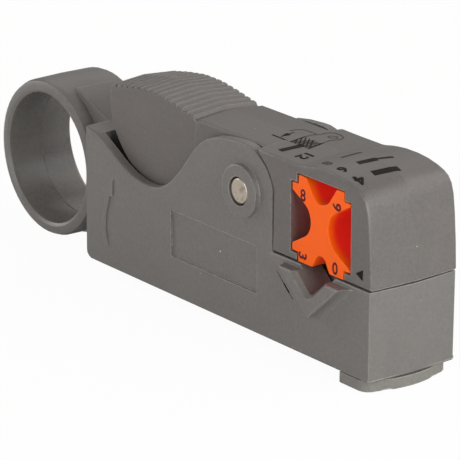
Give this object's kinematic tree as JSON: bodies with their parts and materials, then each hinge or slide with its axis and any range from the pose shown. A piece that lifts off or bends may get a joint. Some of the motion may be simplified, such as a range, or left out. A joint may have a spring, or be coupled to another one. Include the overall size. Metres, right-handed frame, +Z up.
{
  "type": "coaxial cable stripper",
  "caption": "Hand-held rotary coaxial cable stripper with a finger ring, a sprung thumb lever, a cable cassette with grooves of different sizes and adjustable blades.",
  "frame": {"origin": "middle of the tool's length and width, at the height of the foot's underside", "axes": "+X from the finger ring towards the jaw, +Y across the tool away from the side seen in the picture, +Z up from the foot to the jaw's top"},
  "size_m": [0.1096, 0.023, 0.0373],
  "materials": {
    "grey_plastic": "moulded, fine satin grain",
    "arm_plastic": "moulded, fine satin grain",
    "cover_plastic": "moulded, fine satin grain",
    "orange_plastic": "moulded, semi-gloss, translucent look",
    "black_plastic": "moulded, matt",
    "pin_steel": "turned, slightly dull",
    "spring_steel": "drawn wire",
    "blade_steel": "ground",
    "screw_steel": "zinc plated",
    "brass": "milled"
  },
  "bodies": {
    "frame": {"body_frame": "grey_plastic", "pivot_pin": "pin_steel", "return_spring": "spring_steel", "blade_cartridge": "black_plastic", "cartridge_cover": "cover_plastic", "cover_screw_1": "screw_steel", "cover_screw_2": "screw_steel"},
    "arm": {"clamp_arm": "arm_plastic"},
    "cassette": {"cable_cassette": "orange_plastic"},
    "screw_1": {"adjusting_screw_1": "screw_steel"},
    "carrier_1": {"blade_carrier_1": "brass", "blade_1": "blade_steel"},
    "screw_2": {"adjusting_screw_2": "screw_steel"},
    "carrier_2": {"blade_carrier_2": "brass", "blade_2": "blade_steel"},
    "screw_3": {"adjusting_screw_3": "screw_steel"},
    "carrier_3": {"blade_carrier_3": "brass", "blade_3": "blade_steel"}
  },
  "joints": [
    {"name": "arm_pivot", "type": "hinge", "parent": "frame", "child": "arm", "pos_m": [0.02077, 0, 0.02664], "axis": [0, -1, 0], "range_deg": [0, 16], "stiffness_Nm_per_rad": 0.335, "springref_deg": -18.91, "deforming": ["return_spring"]},
    {"name": "cassette_slide", "type": "slide", "parent": "arm", "child": "cassette", "axis": [0, -1, 0], "range_m": [0, 0.019]},
    {"name": "screw_turn_1", "type": "hinge", "parent": "frame", "child": "screw_1", "pos_m": [0.04077, -0.0048, 0.0035], "axis": [0, 0, -1], "range_deg": [-330, 330]},
    {"name": "carrier_lift_1", "type": "slide", "parent": "frame", "child": "carrier_1", "axis": [0, 0, 1], "range_m": [-0.00044, 0.00044]},
    {"name": "screw_turn_2", "type": "hinge", "parent": "frame", "child": "screw_2", "pos_m": [0.04077, 0, 0.0035], "axis": [0, 0, -1], "range_deg": [-330, 330]},
    {"name": "carrier_lift_2", "type": "slide", "parent": "frame", "child": "carrier_2", "axis": [0, 0, 1], "range_m": [-0.00044, 0.00044]},
    {"name": "screw_turn_3", "type": "hinge", "parent": "frame", "child": "screw_3", "pos_m": [0.04077, 0.0048, 0.0035], "axis": [0, 0, -1], "range_deg": [-330, 330]},
    {"name": "carrier_lift_3", "type": "slide", "parent": "frame", "child": "carrier_3", "axis": [0, 0, 1], "range_m": [-0.00044, 0.00044]}
  ],
  "couplings": [
    {"joint": "screw_turn_1", "follows": "carrier_lift_1", "rad_per_m": 12566},
    {"joint": "screw_turn_2", "follows": "carrier_lift_2", "rad_per_m": 12566},
    {"joint": "screw_turn_3", "follows": "carrier_lift_3", "rad_per_m": 12566}
  ]
}
